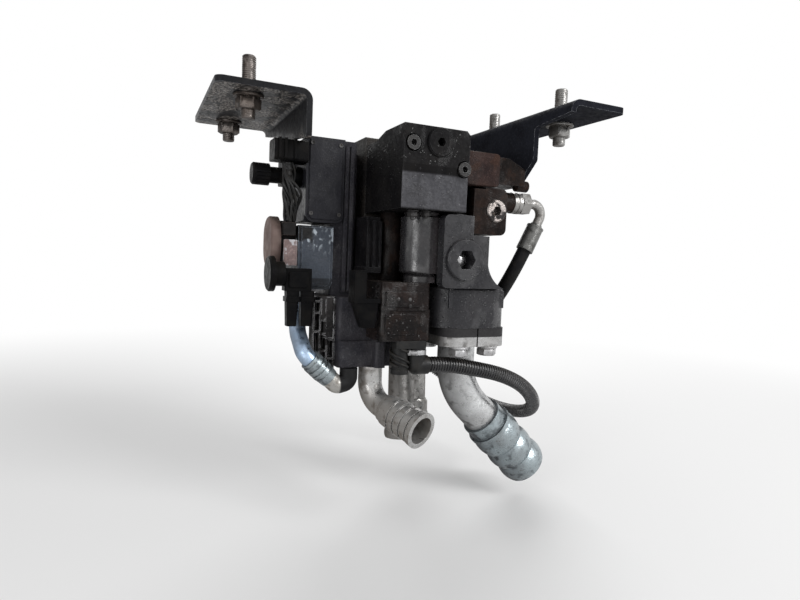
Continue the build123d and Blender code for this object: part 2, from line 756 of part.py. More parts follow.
# Side fitting: nut and bent tube at the side port, its ferrule, and the jumper hose
port_y_side, port_z_side = side_port["y"], side_port["z"]
nut_x = side_right + side_port["boss"]
side_way = (-11, 1.6, -24)
side_corner = (nut_x + 39, port_y_side, port_z_side + 2)
side_end = beyond(side_corner, side_way, 26)
side_tube = bent_tube(((nut_x + 1, port_y_side, port_z_side), side_corner, side_end),
                      (12,), side_port["tube_r"], side_port["bore"])
with BuildPart() as side_elbow:
    with BuildSketch(side(nut_x)):
        with Locations((port_y_side, port_z_side)):
            RegularPolygon(hex_r(side_port["nut_flats"]), 6)
    extrude(amount=side_port["nut"])
    add(side_tube)
save(side_elbow.part, "side_elbow")
r = side_port["tube_r"]
save(ferrule(side_end, side_way, ((3, r + 1, 0, r + 2), (2, r + 4.3, 0, r + 4.3), (28, r + 4, 0, r + 4.3)),
             side_port["bore"], 8, hose_r + seated), "side_ferrule")
rear_x = body_left + (section_n - 0.5) * section_w - seam / 2
rear_y = body_back + 37
rear_z = work_port_heights[0]
rear_leg = 40
rear_nut = 12
jumper_end = (rear_x, rear_y, rear_z - rear_leg - rear_nut - 10)
hose_x = foot_right + 12
jumper_points = (beyond(side_end, side_way, 10), beyond(side_end, side_way, 46), (hose_x, -104, -192),
                 (hose_x + 1, -70, -224), (hose_x, -27, -252), (hose_x - 11, 13, -258),
                 (rear_x + 22, rear_y - 24, -242), (rear_x + 7, rear_y - 3, -210), (rear_x, rear_y, -176),
                 jumper_end)


def free_radii(points):
    """The radius at each corner: 0.45 of the shorter run over the tangent of half the turn."""
    radii = []
    for a, b, c in zip(points, points[1:], points[2:]):
        before, after = Vector(*b) - Vector(*a), Vector(*c) - Vector(*b)
        half = radians(before.get_angle(after)) / 2
        radii.append(0.45 * min(before.length, after.length) / tan(half))
    return radii


def hose(points, radius, name):
    """A round hose along a free route, with its radii and volume printed."""
    radii = free_radii(points)
    with BuildPart() as tube:
        with BuildLine() as path:
            FilletPolyline(*points, radius=radii)
        with BuildSketch(Plane(origin=path.line @ 0, z_dir=path.line % 0)):
            Circle(radius)
        sweep(path=path.line)
    long = sum(edge.length for edge in path.edges())
    expected = pi * radius ** 2 * long
    print(name, "length", round(long), "radii", [round(r) for r in radii],
          "volume ratio", round(tube.part.volume / expected, 4))
    return tube.part


save(hose(jumper_points, hose_r, "jumper_hose"), "jumper_hose")

# Rear adaptor where the jumper hose comes back up to the last section
with BuildPart() as rear_adaptor:
    rear_seat = body_back + work_port["boss_t"]
    with BuildSketch(front(rear_seat)):
        with Locations((rear_x, rear_z)):
            RegularPolygon(hex_r(24), 6)
    extrude(amount=-9)
    rod((rear_x, rear_seat, rear_z), FORWARD, work_port["r"] - seated, work_port["deep"] - seated)
    rod((rear_x, rear_seat, rear_z), BACKWARD, 9, rear_y - rear_seat)
    rod((rear_x, rear_y, rear_z - rear_leg), UP, 9, rear_leg + 9)
    with BuildSketch(level(rear_z - rear_leg - rear_nut)):
        with Locations((rear_x, rear_y)):
            RegularPolygon(hex_r(22), 6)
    extrude(amount=rear_nut)
save(rear_adaptor.part, "rear_adaptor")
save(ferrule((rear_x, rear_y, rear_z - rear_leg - rear_nut), DOWN,
             ((6, 8, 0, 8), (2, 10, 0, 10), (36, 9.5, 0, 9.8)), 3.5, 8, hose_r + seated), "rear_ferrule")

# Connectors that hang under the lower actuator, the round connector and the block beside it
with BuildPart() as hanging_connectors:
    for x, wide in ((45, 13), (60.5, 14)):
        with BuildSketch(level(lower_bottom - 1)):
            with Locations((x, -80)):
                RectangleRounded(wide, 15, 2.5)
        with BuildSketch(level(lower_bottom - 37)):
            with Locations((x - 1, -82)):
                RectangleRounded(wide - 3, 12, 2.5)
        loft()
        box((x - wide / 2 - 1, -89, lower_bottom - 12), (x + wide / 2 + 0.5, -72, lower_bottom - 7), 2)
save(hanging_connectors.part, "hanging_connectors")
with BuildPart() as round_connector:
    for x, r, long in ((19.5, 18, 6), (25.5, 12.5, 10.5)):
        rod((x, -80, -182), RIGHT, r, long)
    chamfer(round_connector.faces().sort_by(Axis.X)[0].edges(), 1.5)
save(round_connector.part, "round_connector")
with BuildPart() as connector_block:
    box((36, -88, -199), (64, lower_front - seated, -176), 2)
    box((40, -90, -195), (60, -87, -180), 2, Axis.Y)
save(connector_block.part, "connector_block")

# Pilot connector: an upright socket box, and under it a flared plug that leans to the right
plug_right = pilot_left - seated
plug_y = pilot_front + 10
plug_low = -203
with BuildPart() as pilot_connector:
    box((plug_right - 28.5, pilot_front, plug_low), (plug_right - 15.5, pilot_front + 19, plug_low + 28), 2)
    box((plug_right - 28.5, plug_y - 10, plug_low - 4), (plug_right, plug_y + 10, plug_low + 0.5), 2)
    for drop, x, wide, deep in ((3, plug_right - 14.5, 26, 18), (29, plug_right - 11, 15, 13)):
        with BuildSketch(level(plug_low - drop)):
            with Locations((x, plug_y)):
                RectangleRounded(wide, deep, 3)
    loft()
save(pilot_connector.part, "pilot_connector")

# Cable boots under the pilot block: an upright sleeve and an elbow boot that the conduit leaves
boot_y = -125
conduit_z = -273
sleeve_low = conduit_z - 8
with BuildPart() as cable_boots:
    box((141, boot_y - 10, pilot_bottom - 8), (176, boot_y + 10, pilot_bottom), 4)
    rod((149, boot_y, sleeve_low), UP, 8.5, pilot_bottom - 4 - sleeve_low)
    rod((149, boot_y, sleeve_low), UP, 9.6, 5)
    rod((168, boot_y, conduit_z), UP, conduit_r + 1.5, pilot_bottom - 4 - conduit_z)
    rod((168, boot_y, conduit_z), RIGHT, conduit_r + 1.5, 13)
    with Locations((168, boot_y, conduit_z)):
        Sphere(conduit_r + 1.5)
save(cable_boots.part, "cable_boots")
conduit_points = ((181, boot_y, conduit_z), (202, boot_y, conduit_z), (238, -129, -279), (274, -129, -287),
                  (307, -123, -301), (334, -110, -320), (355, -88, -340), (367, -56, -356), (368, -18, -364),
                  (357, 18, -362), (336, 48, -348), (308, 68, -326), (278, 77, -304), (250, 78, -281),
                  (228, 76, -256), (215, 73, -228), (212, 72, -201))
save(hose(conduit_points, conduit_r, "conduit"), "conduit")

# Rear plug where the conduit ends, on the back of the second section
with BuildPart() as rear_connector:
    x, y, low = conduit_points[-1]
    box((x - 14, body_back, low + 7), (x + 10, y - 9, low + 29), 3, Axis.Y)
    box((x - 11, y - 10, low + 1), (x + 11, y + 10, low + 29), 4)
save(rear_connector.part, "rear_connector")

# Taped loom between the plug connector and the lower actuator
loom_points = ((41, -66, -67.3), (41, -66, -84), (43, -64, -108), loom_end)
save(hose(loom_points, loom_r, "wiring_loom"), "wiring_loom")
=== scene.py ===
"""Looks of the hydraulic control valve assembly: surfaces, small pieces, light and camera.

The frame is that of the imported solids: +Z up, +X right along the front, -Y front. Lengths are in
millimetres, times MM for Blender's metres; the camera, the floor and the lamps are placed in metres.
"""
from math import cos, pi, radians, sin, tau
import random

import bpy
from mathutils import Matrix, Vector


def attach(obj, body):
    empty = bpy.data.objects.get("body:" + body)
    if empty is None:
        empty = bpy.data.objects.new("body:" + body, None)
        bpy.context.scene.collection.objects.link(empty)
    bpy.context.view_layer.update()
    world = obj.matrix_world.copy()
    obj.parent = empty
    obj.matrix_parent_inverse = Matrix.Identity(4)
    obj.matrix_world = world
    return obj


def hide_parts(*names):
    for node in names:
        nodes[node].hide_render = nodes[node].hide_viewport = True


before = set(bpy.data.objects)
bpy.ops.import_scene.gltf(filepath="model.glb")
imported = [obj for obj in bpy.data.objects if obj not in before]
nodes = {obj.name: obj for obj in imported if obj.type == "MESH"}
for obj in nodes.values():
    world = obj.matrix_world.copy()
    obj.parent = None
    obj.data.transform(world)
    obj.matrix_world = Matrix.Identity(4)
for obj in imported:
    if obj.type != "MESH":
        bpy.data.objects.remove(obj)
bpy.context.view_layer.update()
MM = 0.001


# Materials

# Noise patterns: millimetres across, noise where the pattern begins, noise where it is full, detail, and
# scale up and down, which is under 1 for streaks
PATTERNS = {
    "blotches": (30, 0.4, 0.6, 3, 1),
    "specks": (2.2, 0.52, 0.66, 5, 1),
    "rust": (12, 0.5, 0.62, 6, 1),
    "scuffs": (6, 0.36, 0.56, 5, 1),
    "settled dust": (10, 0.3, 0.62, 6, 1),
    "thin dust": (18, 0.5, 0.75, 6, 1),
    "oil": (22, 0.5, 0.6, 3, 0.6),
    "beaded places": (12, 0.5, 0.53, 3, 0.5),
    "iron sheen": (4, 0.3, 0.7, 4, 1),
    "iron grain": (1.1, 0.2, 0.8, 3, 1),
    "iron waves": (7, 0.2, 0.8, 2, 1),
    "band blotches": (20, 0.25, 0.6, 4, 1),
    "band specks": (2.4, 0.35, 0.65, 4, 1),
    "scratches": (4.5, 0.52, 0.6, 5, 0.6),
    "scratched places": (14, 0.38, 0.55, 4, 1),
    "ragged rim": (5, 0.3, 0.7, 4, 1),
    "mud": (25, 0.44, 0.53, 8, 1),
    "mud lumps": (2.8, 0.44, 0.54, 4, 1),
    "dulled zinc": (30, 0.3, 0.75, 5, 1),
    "grime": (8, 0.5, 0.7, 6, 1),
    "stains": (3, 0.62, 0.72, 6, 1),
    "zinc sheen": (5, 0.3, 0.7, 4, 1),
    "zinc grain": (1.2, 0.2, 0.8, 3, 1),
    "zinc waves": (9, 0.2, 0.8, 2, 1),
    "small blotches": (20, 0.4, 0.6, 3, 1),
    "film": (9, 0.45, 0.72, 6, 1),
    "plastic sheen": (6, 0.3, 0.7, 4, 1),
    "plastic grain": (0.9, 0.2, 0.8, 3, 1),
}

# Cosine between the true normal and the rounded one where the edge mask begins and where it is full; it
# marks worn edges and painted highlights
EDGE_BEGINS, EDGE_FULL = 0.98, 0.88


class Look:
    """One procedural material, put together layer by layer."""

    def __init__(self, name):
        self.material = bpy.data.materials.new(name)
        self.material.use_nodes = True
        self.tree = self.material.node_tree
        self.tree.nodes.clear()
        self.place = self.node("TexCoord").outputs["Object"]
        self.facing = self.node("NewGeometry").outputs["Normal"]
        self.shader = self.node("BsdfPrincipled")
        self.tree.links.new(self.shader.outputs[0], self.node("OutputMaterial").inputs[0])

    def node(self, kind, **settings):
        made = self.tree.nodes.new("ShaderNode" + kind)
        for key, value in settings.items():
            setattr(made, key, value)
        return made

    def put(self, socket, value):
        """Links a socket, or writes a plain value on it."""
        if isinstance(value, bpy.types.NodeSocket):
            self.tree.links.new(value, socket)
        elif isinstance(value, (tuple, list)) and socket.type == "RGBA":
            socket.default_value = (*value, 1)
        else:
            socket.default_value = value

    def math(self, operation, a, b=0.0, clamp=False):
        made = self.node("Math", operation=operation, use_clamp=clamp)
        self.put(made.inputs[0], a)
        self.put(made.inputs[1], b)
        return made.outputs[0]

    def product(self, *factors):
        """Sockets and numbers multiplied together."""
        made = factors[0]
        for factor in factors[1:]:
            made = self.math("MULTIPLY", made, factor)
        return made

    def total(self, *shares):
        """Shares added together, 1 at most."""
        made = shares[0]
        for share in shares[1:]:
            made = self.math("ADD", made, share, clamp=True)
        return made

    def ramp(self, value, low, high, to_low=0.0, to_high=1.0):
        made = self.node("MapRange", interpolation_type="SMOOTHSTEP")
        for socket, entry in zip(made.inputs, (value, low, high, to_low, to_high)):
            self.put(socket, entry)
        return made.outputs[0]

    def patches(self, pattern):
        """0 to 1 noise after one of the PATTERNS."""
        size, begins, full, detail, upright = PATTERNS[pattern]
        drawn = self.node("Mapping")
        self.put(drawn.inputs["Vector"], self.place)
        drawn.inputs["Scale"].default_value = (1, 1, upright)
        made = self.node("TexNoise")
        self.put(made.inputs["Vector"], drawn.outputs[0])
        made.inputs["Scale"].default_value = 1 / (size * MM)
        made.inputs["Detail"].default_value = detail
        return self.ramp(made.outputs["Fac"], begins, full)

    def cells(self, apart, low, high):
        """0 to 1 round spots, so many millimetres apart."""
        made = self.node("TexVoronoi")
        self.put(made.inputs["Vector"], self.place)
        made.inputs["Scale"].default_value = 1 / (apart * MM)
        return self.ramp(made.outputs["Distance"], low, high)

    def mix(self, share, a, b):
        made = self.node("Mix", data_type="RGBA")
        self.put(made.inputs[0], share)
        self.put(made.inputs[6], a)
        self.put(made.inputs[7], b)
        return made.outputs[2]

    def edges(self, radius):
        """1 along edges, used for worn edges and for painted highlights, and the normal with those edges
        rounded by a radius in millimetres.
        """
        bevel = self.node("Bevel", samples=4)
        bevel.inputs["Radius"].default_value = radius * MM
        dot = self.node("VectorMath", operation="DOT_PRODUCT")
        self.put(dot.inputs[0], bevel.outputs[0])
        self.put(dot.inputs[1], self.facing)
        return self.ramp(dot.outputs["Value"], EDGE_BEGINS, EDGE_FULL), bevel.outputs[0]

    def facing_along(self, axis, low, high):
        """0 where the surface's normal has the share low along an axis, 1 at the share high."""
        split = self.node("SeparateXYZ")
        self.put(split.inputs[0], self.facing)
        return self.ramp(split.outputs[axis], low, high)

    def upward(self):
        """1 on faces that look up, where dust settles."""
        return self.facing_along("Z", 0.3, 0.9)

    def along(self, axis, low, high, shift=None):
        """0 before the place low on an axis, 1 past the place high, in millimetres.

        A shift, a socket in metres, is added to the place first.
        """
        split = self.node("SeparateXYZ")
        self.put(split.inputs[0], self.place)
        place = split.outputs[axis]
        if shift is not None:
            place = self.math("ADD", place, shift)
        return self.ramp(place, low * MM, high * MM)

    def uneven(self, pattern, rough, less, more, soil_and_shade, share):
        """Roughness that varies with a pattern and rises by a share with soiling, in plated pieces also with
        their painted shade.
        """
        varied = self.ramp(self.patches(pattern), 0, 1, rough - less, rough + more)
        return self.total(varied, self.product(soil_and_shade, share))

    def bump(self, normal, *layers):
        """Stacks (height, distance in millimetres) layers of bump on a normal."""
        for value, distance in layers:
            made = self.node("Bump")
            made.inputs["Distance"].default_value = distance * MM
            self.put(made.inputs["Height"], value)
            self.put(made.inputs["Normal"], normal)
            normal = made.outputs[0]
        return normal

    def finish(self, colour, roughness, normal, metal=0.0, specular=0.5, coat=0.0, coat_rough=0.1):
        for name, value in (("Base Color", colour), ("Roughness", roughness), ("Normal", normal),
                            ("Metallic", metal), ("Specular IOR Level", specular), ("Coat Weight", coat),
                            ("Coat Roughness", coat_rough), ("Coat Normal", normal)):
            self.put(self.shader.inputs[name], value)
        return self.material


DUST = (0.085, 0.07, 0.055)
RUST = (0.075, 0.036, 0.022)
WORN = (0.11, 0.11, 0.115)
MUD = (0.2, 0.18, 0.165)
# Colour of a painted shadow
PAINTED_SHADOW_COLOUR = (0.005, 0.005, 0.0055)

# Droplets, the soft borders of a band, a painted shadow and mud, and how deep the mud's lumps are pitted
BEADS_APART, BEAD_HIGH = 4.2, 0.9
BAND_FADE_LOW, BAND_FADE_HIGH = 2, 1.5
SHADOW_FADE_X, SHADOW_FADE_Z, SHADOW_RAGGED = 2, 3, 5
MUD_NONE_Z, MUD_FULL_Z, MUD_PITS = -28, -52, 0.8

# Sides of plated pieces darkened as painted shade: axis, normal where it begins, normal where it is full,
# share
SHADED = (("X", -0.2, -0.95, 0.5), ("X", 0.45, 1.0, 0.55), ("Z", -0.3, -1.0, 0.4), ("Y", -0.65, 0.2, 0.45))


def times(colour, by):
    """A colour made brighter or darker, with no channel over 1."""
    return tuple(min(1, by * c) for c in colour)


def banded(k, colour, low, high, pale):
    """A pale band across the front between two heights, uneven and speckled; on the manifold it is a painted
    sheen of the wet lower face.
    """
    above_high = k.along("Z", high - BAND_FADE_HIGH, high + BAND_FADE_HIGH)
    inside = k.product(k.along("Z", low, low + BAND_FADE_LOW), k.math("SUBTRACT", 1.0, above_high),
                       k.facing_along("Y", -0.3, -0.9),
                       k.ramp(k.patches("band blotches"), 0, 1, 0.65, 1),
                       k.ramp(k.patches("band specks"), 0, 1, 0.72, 1))
    return k.mix(inside, colour, pale)


def scratched(k, colour, none, full, pale):
    """Pale scratches: none below the first height, all of them above the second."""
    marks = k.product(k.patches("scratches"), k.along("Z", none, full), k.patches("scratched places"))
    return k.mix(marks, colour, pale)


def paint_shadow_corner(k, colour, left_of, above):
    """A painted shadow in a corner, left of an x and above a height, with a ragged lower rim."""
    ragged = k.product(k.patches("ragged rim"), SHADOW_RAGGED * MM)
    corner = k.product(k.along("X", left_of + SHADOW_FADE_X, left_of - SHADOW_FADE_X),
                       k.along("Z", above, above + SHADOW_FADE_Z, ragged))
    return k.mix(corner, colour, PAINTED_SHADOW_COLOUR)


def muddied(k, colour, share):
    """Mud below and low on the left side: the colour with its crust, and the lumps in it."""
    inner = k.product(k.facing_along("X", -0.3, -0.9), k.along("Z", MUD_NONE_Z, MUD_FULL_Z))
    crust = k.math("MAXIMUM", k.facing_along("Z", -0.2, -0.9), inner)
    crust = k.product(crust, k.patches("mud"), share)
    lumps = k.patches("mud lumps")
    return k.mix(crust, colour, k.mix(lumps, MUD, times(MUD, 0.07))), k.product(crust, lumps)


def coated(name, base, tint, rough=0.5, wear=0.5, dust=0.2, oil=0.3, rust=0.0, grain=0.2, specular=0.12,
           worn=WORN, edge=0.8, drops=0.0, mud=0.0, band=None, painted_shading_right=None, scratch=None, painted_shadow=None,
           speckle=0.5):
    """Painted or cast black iron: blotches, worn edges, dust, oil film, droplets, rust, mud, and painted
    light and shade.

    wear, dust, oil, rust, drops, mud and speckle are shares; edge and grain are in millimetres; worn is
    the colour of bare edges, on the fins also of painted highlights. The colour given for faces turned
    right is painted light on the barrel and painted shade on the bracket. band is (low z, high z, colour),
    on the manifold a painted sheen; scratch is (z without, z with all, colour); the corner given as (left
    of this x, above this z) holds a painted shadow.
    """
    k = Look(name)
    edge_mask, normal = k.edges(edge)
    colour = k.mix(k.patches("blotches"), base, tint)
    colour = k.mix(k.product(k.patches("specks"), speckle), colour, times(tint, 1.8))
    # A pale band on the front; on the manifold it is a painted sheen of the wet face
    if band:
        colour = banded(k, colour, *band)
    # Painted light on the barrel and painted shade on the bracket, on faces turned right
    if painted_shading_right:
        colour = k.mix(k.facing_along("X", -0.15, 0.75), colour, painted_shading_right)
    if scratch:
        colour = scratched(k, colour, *scratch)
    # A painted shadow in a corner, with a ragged lower rim
    if painted_shadow:
        colour = paint_shadow_corner(k, colour, *painted_shadow)
    if rust:
        colour = k.mix(k.product(k.patches("rust"), rust), colour, RUST)
    # Worn edges; on the fins the pale edges are painted highlights as well
    colour = k.mix(k.product(edge_mask, k.patches("scuffs"), wear), colour, worn)
    dusty = k.product(k.upward(), k.patches("settled dust"), dust)
    dusty = k.total(dusty, k.product(k.patches("thin dust"), dust * 0.3))
    colour = k.mix(dusty, colour, DUST)
    wet = k.product(k.patches("oil"), oil)
    layers = [(k.patches("iron grain"), grain), (k.patches("iron waves"), grain * 1.2)]
    if drops:
        beads = k.product(k.cells(BEADS_APART, 0.34, 0.2), k.patches("beaded places"), drops)
        wet = k.math("MAXIMUM", wet, beads)
        layers.append((beads, BEAD_HIGH))
    if mud:
        colour, lumps = muddied(k, colour, mud)
        layers.append((lumps, -MUD_PITS))
    roughness = k.uneven("iron sheen", rough, 0.08, 0.1, dusty, 0.5)
    normal = k.bump(normal, *layers)
    return k.finish(colour, roughness, normal, specular=specular, coat=wet, coat_rough=0.12)


def plated(name, base=(0.36, 0.37, 0.38), dark=(0.085, 0.08, 0.075), rough=0.32, grime=0.5, metal=0.9,
           stain=(0.06, 0.045, 0.035), paint=None, shade=1.0):
    """Zinc-plated or bare steel with grime, stains, dulled patches and painted shade on its sides.

    grime and metal are shares, and shade multiplies those of the painted shade on the sides. paint is
    (axis, place where paint begins, run over which it thickens, colour).
    """
    k = Look(name)
    edge_mask, normal = k.edges(0.5)
    dulled = tuple(0.4 * a + 0.75 * b + 0.1 for a, b in zip(base, dark))
    colour = k.mix(k.patches("dulled zinc"), base, dulled)
    grime_and_shade = k.product(k.patches("grime"), grime)
    # Painted shade on sides, undersides and backs, added to the grime
    for axis, begins, full, share in SHADED:
        grime_and_shade = k.total(grime_and_shade, k.product(k.facing_along(axis, begins, full), share * shade))
    colour = k.mix(grime_and_shade, colour, dark)
    spots = k.product(k.patches("stains"), grime)
    colour = k.mix(spots, colour, stain)
    colour = k.mix(k.product(edge_mask, 0.5), colour, times(base, 1.4))
    # Grime, stains and painted shade together, which also dull and roughen the metal
    soil_and_shade = k.total(grime_and_shade, spots)
    if paint:
        axis, start, run, paint_colour = paint
        covered = k.along(axis, start, start + run)
        colour = k.mix(covered, colour, paint_colour)
        soil_and_shade = k.math("MAXIMUM", soil_and_shade, covered)
    shiny = k.math("SUBTRACT", metal, k.product(soil_and_shade, 0.85), clamp=True)
    roughness = k.uneven("zinc sheen", rough, 0.08, 0.12, soil_and_shade, 0.25)
    normal = k.bump(normal, (k.patches("zinc grain"), 0.08), (k.patches("zinc waves"), 0.15))
    return k.finish(colour, roughness, normal, metal=shiny, specular=0.2)


def moulded(name, base, tint, rough=0.42, dust=0.2, grain=0.06, specular=0.15, disc=None):
    """Moulded plastic or rubber: fine grain, dusty film and edges made paler as painted highlights.

    disc is (x, colour) where everything past that x has another colour.
    """
    k = Look(name)
    edge_mask, normal = k.edges(0.7)
    colour = k.mix(k.patches("small blotches"), base, tint)
    film = k.total(k.product(k.patches("film"), dust * 0.5), k.product(k.upward(), dust))
    colour = k.mix(film, colour, DUST)
    if disc:
        beyond, inner = disc
        colour = k.mix(k.along("X", beyond, beyond + 0.3), colour, inner)
    # Edges made paler: painted highlights
    colour = k.mix(k.product(edge_mask, 0.35), colour, times(tint, 2.2))
    roughness = k.uneven("plastic sheen", rough, 0.06, 0.1, film, 0.4)
    normal = k.bump(normal, (k.patches("plastic grain"), grain))
    return k.finish(colour, roughness, normal, specular=specular)


brown_black = coated("brown_black_iron", (0.0075, 0.0058, 0.0054), (0.016, 0.0112, 0.0098), rust=0.12,
                     oil=0.1, specular=0.04, dust=0.15)
low_iron = coated("lower_iron", (0.025, 0.0245, 0.03), (0.037, 0.0355, 0.041), grain=0.35)
deep_iron = coated("recess_iron", (0.004, 0.0038, 0.0045), (0.008, 0.0075, 0.0085), oil=0.2, specular=0.06)
# Its pale band on the lower front is a painted sheen of the wet face
manifold_iron = coated("manifold_iron", (0.005, 0.0047, 0.0052), (0.0085, 0.008, 0.0082), drops=0.4,
                       oil=0.12, grain=0.1, specular=0.05, dust=0.08, speckle=0.12,
                       band=(-113, -78, (0.072, 0.072, 0.079)))
# Its pale worn edges are painted highlights along the fins as well as wear
fin_iron = coated("fin_iron", (0.016, 0.015, 0.0155), (0.03, 0.028, 0.028), wear=1.8, worn=(0.6, 0.6, 0.61),
                  edge=1.3)
iron_back = coated("black_iron_dusty", (0.013, 0.012, 0.0125), (0.025, 0.022, 0.02), dust=0.4, oil=0.15)
iron_oily = coated("oily_iron", (0.006, 0.005, 0.005), (0.012, 0.009, 0.0085), rough=0.4, oil=0.5, rust=0.07,
                   drops=1.0, specular=0.08)
housing_paint = coated("housing_paint", (0.017, 0.017, 0.0195), (0.024, 0.0235, 0.026), rough=0.34, oil=0.6,
                       drops=0.8, specular=0.22, grain=0.05, dust=0.1, worn=(0.2, 0.2, 0.21))
# Its faces turned right are given painted light
barrel_paint = coated("barrel_paint", (0.018, 0.0175, 0.0195), (0.026, 0.0245, 0.026), rough=0.24, oil=0.8,
                      dust=0.1, grain=0.04, specular=0.5, painted_shading_right=(0.15, 0.135, 0.14))
brown_barrel = coated("brown_barrel", (0.003, 0.0024, 0.0024), (0.007, 0.005, 0.0046), rough=0.4, rust=0.08,
                      oil=0.12, dust=0.05, specular=0.03)
brown_iron = coated("rusty_block", (0.026, 0.018, 0.0175), (0.045, 0.029, 0.026), rough=0.8, rust=0.3,
                    oil=0.1, dust=0.4, specular=0.05, grain=0.5)
cover_plastic = coated("cover_coat", (0.013, 0.013, 0.0165), (0.017, 0.017, 0.021), rough=0.4, oil=0.15,
                       grain=0.05, dust=0.1, worn=(0.07, 0.07, 0.08))
# Its top-left corner, left of x 68 and above z -146, holds a painted shadow
worn_plastic = coated("worn_blue_black", (0.01, 0.012, 0.016), (0.018, 0.022, 0.028), rough=0.45, wear=0.9,
                      dust=0.15, oil=0.1, worn=(0.25, 0.28, 0.33), specular=0.2,
                      band=(-187, -132, (0.052, 0.062, 0.08)), scratch=(-164, -144, (0.42, 0.47, 0.52)),
                      painted_shadow=(68, -146))
plug_plastic = moulded("plug_plastic", (0.0035, 0.0035, 0.004), (0.0065, 0.0062, 0.0062), rough=0.38,
                       dust=0.05, specular=0.04)
disc_brown = moulded("brown_grey_disc", (0.125, 0.087, 0.078), (0.17, 0.125, 0.112), rough=0.6, dust=0.4,
                     disc=(37, (0.01, 0.009, 0.009)))
# The heights of its scratches lie below the tag, so they are all over it
tag_pink = coated("pale_tag", (0.31, 0.26, 0.265), (0.21, 0.155, 0.15), rough=0.5, dust=0.1, wear=0.9,
                  oil=0.0, rust=0.2, specular=0.2, worn=(0.5, 0.5, 0.52),
                  scratch=(-220, -219, (0.58, 0.58, 0.61)))
zinc = plated("zinc_tube", (0.62, 0.63, 0.635), (0.09, 0.088, 0.088), grime=0.4, rough=0.28)
zinc_return = plated("zinc_return", (0.5, 0.5, 0.495), (0.13, 0.115, 0.1), grime=0.45, rough=0.28, shade=1.1)
zinc_ferrule = plated("zinc_ferrule", (0.38, 0.44, 0.465), (0.045, 0.05, 0.055), grime=0.6, rough=0.26,
                      shade=1.1)
zinc_elbow = plated("zinc_elbow", (0.52, 0.52, 0.5), (0.12, 0.1, 0.08), grime=0.6, rough=0.3,
                    paint=("X", 92, 2.5, (0.008, 0.008, 0.0085)))
stud_iron = plated("oily_stud", (0.14, 0.115, 0.1), (0.025, 0.019, 0.016), grime=1.2)
gunmetal = plated("gunmetal", (0.15, 0.15, 0.143), (0.03, 0.029, 0.027), grime=0.7, rough=0.26)
zinc_dirty = plated("zinc_dirty", (0.33, 0.325, 0.315), (0.085, 0.075, 0.066), grime=0.55, shade=1.1)
zinc_flange = plated("zinc_flange", (0.42, 0.42, 0.42), grime=0.7, stain=(0.09, 0.05, 0.03),
                     paint=("Z", -243, 0.6, (0.022, 0.021, 0.022)))
zinc_blue = plated("zinc_blue", (0.42, 0.56, 0.74), (0.16, 0.2, 0.26), grime=0.25)
bare = plated("bare_screw", (0.34, 0.3, 0.28), (0.012, 0.01, 0.01), rough=0.34, grime=2.2)
dark_screw = plated("dark_screw", (0.034, 0.032, 0.032), (0.012, 0.011, 0.011), rough=0.4, grime=0.9,
                    metal=0.6)
bolt_zinc = plated("bright_bolt", (0.5, 0.5, 0.51), grime=0.4)
polished = plated("polished_floor", (0.55, 0.55, 0.56), grime=0.3, rough=0.2)
# Its faces turned right are given painted shade
bracket_coat = coated("bracket_coat", (0.0085, 0.009, 0.012), (0.014, 0.015, 0.02), rough=0.75, wear=0.9,
                      dust=0.05, oil=0.0, grain=0.01, specular=0.03, worn=(0.26, 0.27, 0.29),
                      painted_shading_right=(0.006, 0.0063, 0.0082))
mud_coat = coated("muddy_bracket", (0.005, 0.005, 0.0062), (0.0085, 0.0088, 0.0102), rough=0.45, wear=0.8,
                  dust=0.2, oil=0.1, grain=0.03, specular=0.1, worn=(0.2, 0.2, 0.21), mud=0.95)
screw_iron = coated("screw_iron", (0.012, 0.0115, 0.0115), (0.024, 0.0225, 0.022), rough=0.35, wear=1.3,
                    oil=0.3, grain=0.05, specular=0.15, worn=(0.3, 0.3, 0.3), edge=0.6)
rubber = moulded("hose_rubber", (0.007, 0.007, 0.008), (0.011, 0.0108, 0.0108), rough=0.6, specular=0.1)
loom_plastic = moulded("conduit_plastic", (0.009, 0.009, 0.0105), (0.014, 0.014, 0.0155), rough=0.24,
                       specular=0.6)
boot_rubber = moulded("boot_rubber", (0.009, 0.009, 0.0095), (0.014, 0.014, 0.014), rough=0.4, specular=0.2)

# The looks of the solids, by the names of their nodes
FINISHES = {
    brown_black: ("spacer_block", "side_port_block"), deep_iron: ("pilot_valve",),
    low_iron: ("left_section", "lower_port_block", "base_plate"),
    manifold_iron: ("upper_manifold", "top_plug"), fin_iron: ("finned_casting",),
    iron_back: ("valve_section_1", "valve_section_2", "valve_section_3", "end_plate"),
    iron_oily: ("pilot_plate", "pilot_block"),
    housing_paint: ("inlet_housing", "inlet_plug"),
    barrel_paint: ("front_barrel",), brown_barrel: ("rear_barrel",), brown_iron: ("brown_block",),
    cover_plastic: ("upper_actuator",), worn_plastic: ("lower_actuator",),
    plug_plastic: ("plug_connector", "locking_cap", "hanging_connectors", "round_connector",
                   "pilot_connector", "rear_connector", "connector_block"),
    disc_brown: ("end_disc",), tag_pink: ("blank_tag",),
    zinc: ("main_tube",), zinc_return: ("return_tube", "return_ferrule"), zinc_elbow: ("lower_elbow",),
    zinc_ferrule: ("main_ferrule", "elbow_ferrule"),
    zinc_dirty: ("twin_tube_1", "twin_tube_2", "twin_ferrule_1", "twin_ferrule_2",
                 "rear_adaptor", "rear_ferrule", "side_elbow"),
    gunmetal: ("side_ferrule",),
    zinc_flange: ("port_flange_left", "port_flange_right"),
    zinc_blue: ("climbing_tube",), bare: ("side_plug",), screw_iron: ("manifold_screws",),
    bracket_coat: ("right_bracket",), mud_coat: ("left_bracket",), boot_rubber: ("cable_boots",),
    rubber: ("jumper_hose",), loom_plastic: ("conduit",),
}
